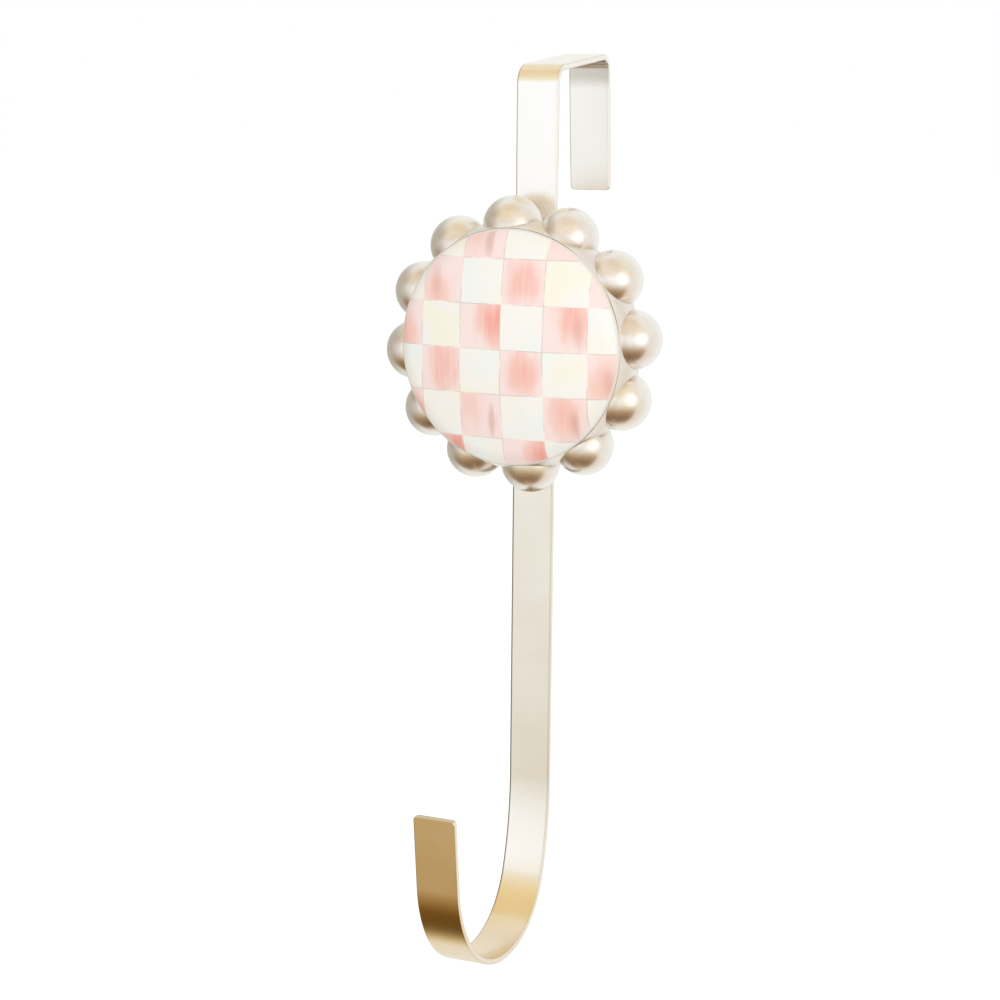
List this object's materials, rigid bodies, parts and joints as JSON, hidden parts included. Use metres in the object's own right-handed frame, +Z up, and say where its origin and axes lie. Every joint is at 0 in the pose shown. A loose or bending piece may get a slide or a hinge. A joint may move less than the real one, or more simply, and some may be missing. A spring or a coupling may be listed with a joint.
{
  "type": "wreath hanger",
  "caption": "Over-the-door wreath hanger: a bent flat strap with a wreath hook and a round medallion of metal balls around a checked enamel dome.",
  "frame": {"origin": "the door's top front edge, where the plane of the stem's back face meets the plane of the saddle's underside", "axes": "+Z up along the stem, +X across the strap to the right of someone who faces the medallion, +Y from the front of the door to its back, so the medallion and the hook face -Y"},
  "size_m": [0.107, 0.1357, 0.3261],
  "materials": {
    "strap_enamel": "satin champagne gold lacquer",
    "pearl_metal": "pearl champagne cast metal, softly polished",
    "checked_enamel": "glossy enamel in a pink and cream check",
    "screw_steel": "plain bright steel"
  },
  "bodies": {
    "root": {"strap": "strap_enamel", "bead_ring": "pearl_metal", "dome": "checked_enamel", "mounting_screws": "screw_steel"}
  },
  "joints": []
}
